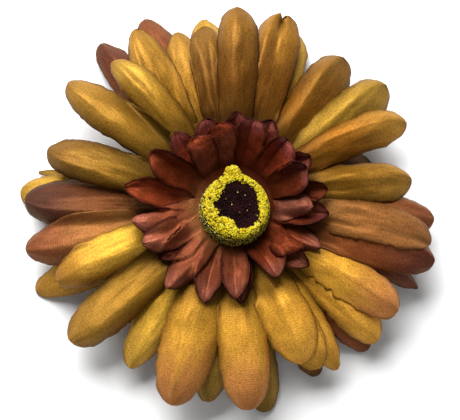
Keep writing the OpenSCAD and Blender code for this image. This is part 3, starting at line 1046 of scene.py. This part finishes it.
def felt_slab(name, outline, low, high, step, upright=False):
    """Felt cut to an outline, in millimetres: a soft-edged slab between two heights, slightly uneven.

    step is its mesh size. An upright one has its outline in Y and Z, and lies between two places along X.
    """
    mesh = bmesh.new()
    loop = [mesh.verts.new((a * MM, b * MM, low * MM)) for a, b in outline]
    face = mesh.faces.new(loop)
    raised = bmesh.ops.extrude_face_region(mesh, geom=[face])
    top = [v for v in raised["geom"] if isinstance(v, bmesh.types.BMVert)]
    bmesh.ops.translate(mesh, verts=top, vec=(0, 0, (high - low) * MM))
    if upright:
        for v in mesh.verts:
            v.co = Vector((v.co.z, v.co.x, v.co.y))
    bmesh.ops.recalc_face_normals(mesh, faces=mesh.faces)
    data = bpy.data.meshes.new(name)
    mesh.to_mesh(data)
    mesh.free()
    obj = linked(name, data, FELT)
    remesh = obj.modifiers.new("remesh", "REMESH")
    remesh.mode = "VOXEL"
    remesh.voxel_size = step * MM
    apply_modifiers(obj)
    for v in obj.data.vertices:
        p = v.co / MM
        v.co += Vector((rough(p, 0.9, 2), rough(p, 0.9, 5), rough(p, 1.4, 8))) * FELT_UNEVEN * MM
    obj.data.shade_smooth()
    return obj


felt_low, felt_high = heights_of("felt_disc")
FELT_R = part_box("felt_disc")[1].x / MM
disc_outline = []
for k in range(72):
    way = polar(1, 5 * k)
    cut = FELT_R - 0.15 + 0.18 * wander(way.x * 2, way.y * 2, 4)
    disc_outline.append((cut * way.x, cut * way.y))
felt_disc = felt_slab("felt_backing", disc_outline, felt_low, felt_high, 0.3)
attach(felt_disc, "flower")
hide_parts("felt_disc")

# The strap runs below the clip's plate and up its sides to two wings on the disc
STRAP_X = (-16, -6)  # where it lies along the clip, in millimetres
STRAP_T = 0.8        # its thickness
PLATE_SIDE = 4.1     # half the plate's width
PLATE_LOW = 7.9      # height of the plate's underside
WING = 9.05          # how far out the wings reach
strap_half = [
    (PLATE_SIDE, PLATE_LOW), (PLATE_SIDE, felt_low - 0.05), (WING, felt_low - 0.05),
    (WING + 0.05, felt_low - 0.4), (WING, felt_low - STRAP_T),
    (PLATE_SIDE + STRAP_T + 0.4, felt_low - STRAP_T),
    (PLATE_SIDE + STRAP_T + 0.1, felt_low - STRAP_T - 0.3), (PLATE_SIDE + 0.5, PLATE_LOW - STRAP_T + 0.1),
    (PLATE_SIDE - 0.2, PLATE_LOW - STRAP_T),
]
strap_outline = strap_half + [(-y, z) for y, z in reversed(strap_half)]
strap = felt_slab("felt_strap_band", strap_outline, STRAP_X[0] + 0.1, STRAP_X[1] - 0.1, 0.2, upright=True)
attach(strap, "flower")
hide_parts("felt_strap")

glue_low, glue_high = heights_of("glue_pad")
GLUE_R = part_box("glue_pad")[1].x / MM
glue_profile = resample([
    (0.05, glue_high), (GLUE_R - 0.8, glue_high), (GLUE_R - 0.3, glue_high - 0.15),
    (GLUE_R, glue_high - 0.45), (GLUE_R - 0.2, glue_low + 0.1), (GLUE_R - 0.6, glue_low), (0.05, glue_low),
], 0.4)


def glue_wobble(angle, k):
    """The glue's uneven edge, squeezed out between the collar and the felt."""
    r, z = glue_profile[k]
    spread = 1.1 * noise.noise(polar(1.8, angle)) + 0.5 * noise.noise(polar(5, angle, 3))
    return (spread * smooth(GLUE_R - 3, GLUE_R, r), 0)


points, faces = lathe(glue_profile, 120, glue_wobble)
glue = mesh_object("glue_blob", points, faces, GLUE)
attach(glue, "flower")
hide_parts("glue_pad")


# ---- spring

def tube(name, path, radius, sides, material):
    """A round wire along a path in millimetres, with rounded-off cut ends."""
    points, faces = [], []
    normal = Vector((0, 0, 1))
    last = len(path) - 1
    for i, place in enumerate(path):
        along = (path[min(i + 1, last)] - path[max(i - 1, 0)]).normalized()
        normal = (normal - along * normal.dot(along)).normalized()
        beside = along.cross(normal)
        width = radius * (0.7 if i in (0, last) else 1)
        for k in range(sides):
            angle = 2 * math.pi * k / sides
            points.append(place + width * (math.cos(angle) * normal + math.sin(angle) * beside))
    for i in range(last):
        for k in range(sides):
            a, b = i * sides + k, i * sides + (k + 1) % sides
            faces.append((a, b, b + sides, a + sides))
    faces.append(tuple(range(sides - 1, -1, -1)))
    faces.append(tuple(last * sides + k for k in range(sides)))
    return mesh_object(name, points, faces, material)


WIRE_R = 0.3         # the wire's radius, in millimetres
WIRE_SIDES = 14
COIL_R = 1.6         # radius of the turns, at the middle of the wire
COIL_SIDE = 1.9      # half the coil's width along the pin
COIL_TURNS = 4.5
PIVOT = Vector((6, 0, 5.6))
LEG = 8.0            # how far the legs reach from the pivot
UPPER_LEG_END = 7.4  # heights of their ends
LOWER_LEG_END = 2.96


def spring_path():
    """The wire's line: a leg under the plate, the turns round the pin, and a leg on the lever."""
    steps = round(36 * COIL_TURNS)
    upper = PIVOT + Vector((0, -COIL_SIDE, COIL_R))
    lower = PIVOT + Vector((0, COIL_SIDE, -COIL_R))
    upper_tip = Vector((PIVOT.x + LEG, -COIL_SIDE, UPPER_LEG_END))
    lower_tip = Vector((PIVOT.x + LEG, COIL_SIDE, LOWER_LEG_END))
    path = [upper_tip + Vector((-0.12, 0, 0)) * k for k in range(3)]
    path += [upper_tip.lerp(upper, t) for t in (0.2, 0.4, 0.6, 0.8, 0.93)]
    for i in range(steps + 1):
        angle = math.radians(90 + 360 * COIL_TURNS * i / steps)
        side = -COIL_SIDE + 2 * COIL_SIDE * i / steps
        path.append(PIVOT + Vector((COIL_R * math.cos(angle), side, COIL_R * math.sin(angle))))
    flat = lower + Vector((1.6, 0, 0))
    path += [lower.lerp(flat, 0.5), flat]
    path += [flat.lerp(lower_tip, t) for t in (0.15, 0.4, 0.7, 0.95, 1)]
    return path


spring = tube("spring_wire", spring_path(), WIRE_R, WIRE_SIDES, SPRING)
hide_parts("torsion_spring")
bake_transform(spring)

# The CAD solids that stay in view
NODE_MATERIALS = {
    "centre_peg": STEM, "petal_spacer": STEM, "back_collar": STEM,
    "clip_plate": PLATED, "clip_jaw": PLATED, "pivot_pin": PLATED,
}
for node, material in NODE_MATERIALS.items():
    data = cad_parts[node].data
    data.materials.clear()
    data.materials.append(material)


# ---- floor, lights and camera

FLOOR_SIDE = 4  # metres
bpy.ops.mesh.primitive_plane_add(size=FLOOR_SIDE)
floor = bpy.context.object
floor.name = "floor"
floor.data.materials.append(paper())

# Square lights: each one's name, place in metres, power in watts and side in metres
LIGHTS = (("key", Vector((-0.22, 0.56, 0.64)), 20.0, 0.7), ("fill", Vector((0.1, -0.5, 0.8)), 1.2, 0.8))
LIGHT_AIM = Vector((0, 0, 0.01))
WORLD_LIGHT = 0.14
for name, place, power, side in LIGHTS:
    data = bpy.data.lights.new(name, "AREA")
    data.energy = power
    data.size = side
    obj = bpy.data.objects.new(name, data)
    obj.location = place
    obj.rotation_euler = (LIGHT_AIM - place).to_track_quat("-Z", "Y").to_euler()
    scene.collection.objects.link(obj)
world = bpy.data.worlds.new("studio")
world.use_nodes = True
sky = world.node_tree.nodes["Background"]
sky.inputs["Color"].default_value = (1, 1, 1, 1)
sky.inputs["Strength"].default_value = WORLD_LIGHT
scene.world = world
scene.view_settings.view_transform = "Standard"
scene.view_settings.look = "None"

# The camera looks nearly straight down, from a little in front of the flower and to its left, with +Y up
CAMERA_DISTANCE = 0.5  # metres
CAMERA_TILT = math.radians(10)
CAMERA_BEARING = math.radians(250)
VIEW_WIDTH = 0.1118    # width of the view at the target, in metres
target = Vector((-0.0008, -0.0008, 0.013))
toward = Vector((math.sin(CAMERA_TILT) * math.cos(CAMERA_BEARING),
                 math.sin(CAMERA_TILT) * math.sin(CAMERA_BEARING), math.cos(CAMERA_TILT)))
right = Vector((0, 1, 0)).cross(toward).normalized()
up = toward.cross(right)
camera_data = bpy.data.cameras.new("camera")
camera = bpy.data.objects.new("camera", camera_data)
scene.collection.objects.link(camera)
camera_data.lens = camera_data.sensor_width * CAMERA_DISTANCE / VIEW_WIDTH
place = target + toward * CAMERA_DISTANCE
camera.matrix_world = Matrix.Translation(place) @ Matrix((right, up, toward)).transposed().to_4x4()
scene.camera = camera

bpy.context.view_layer.update()
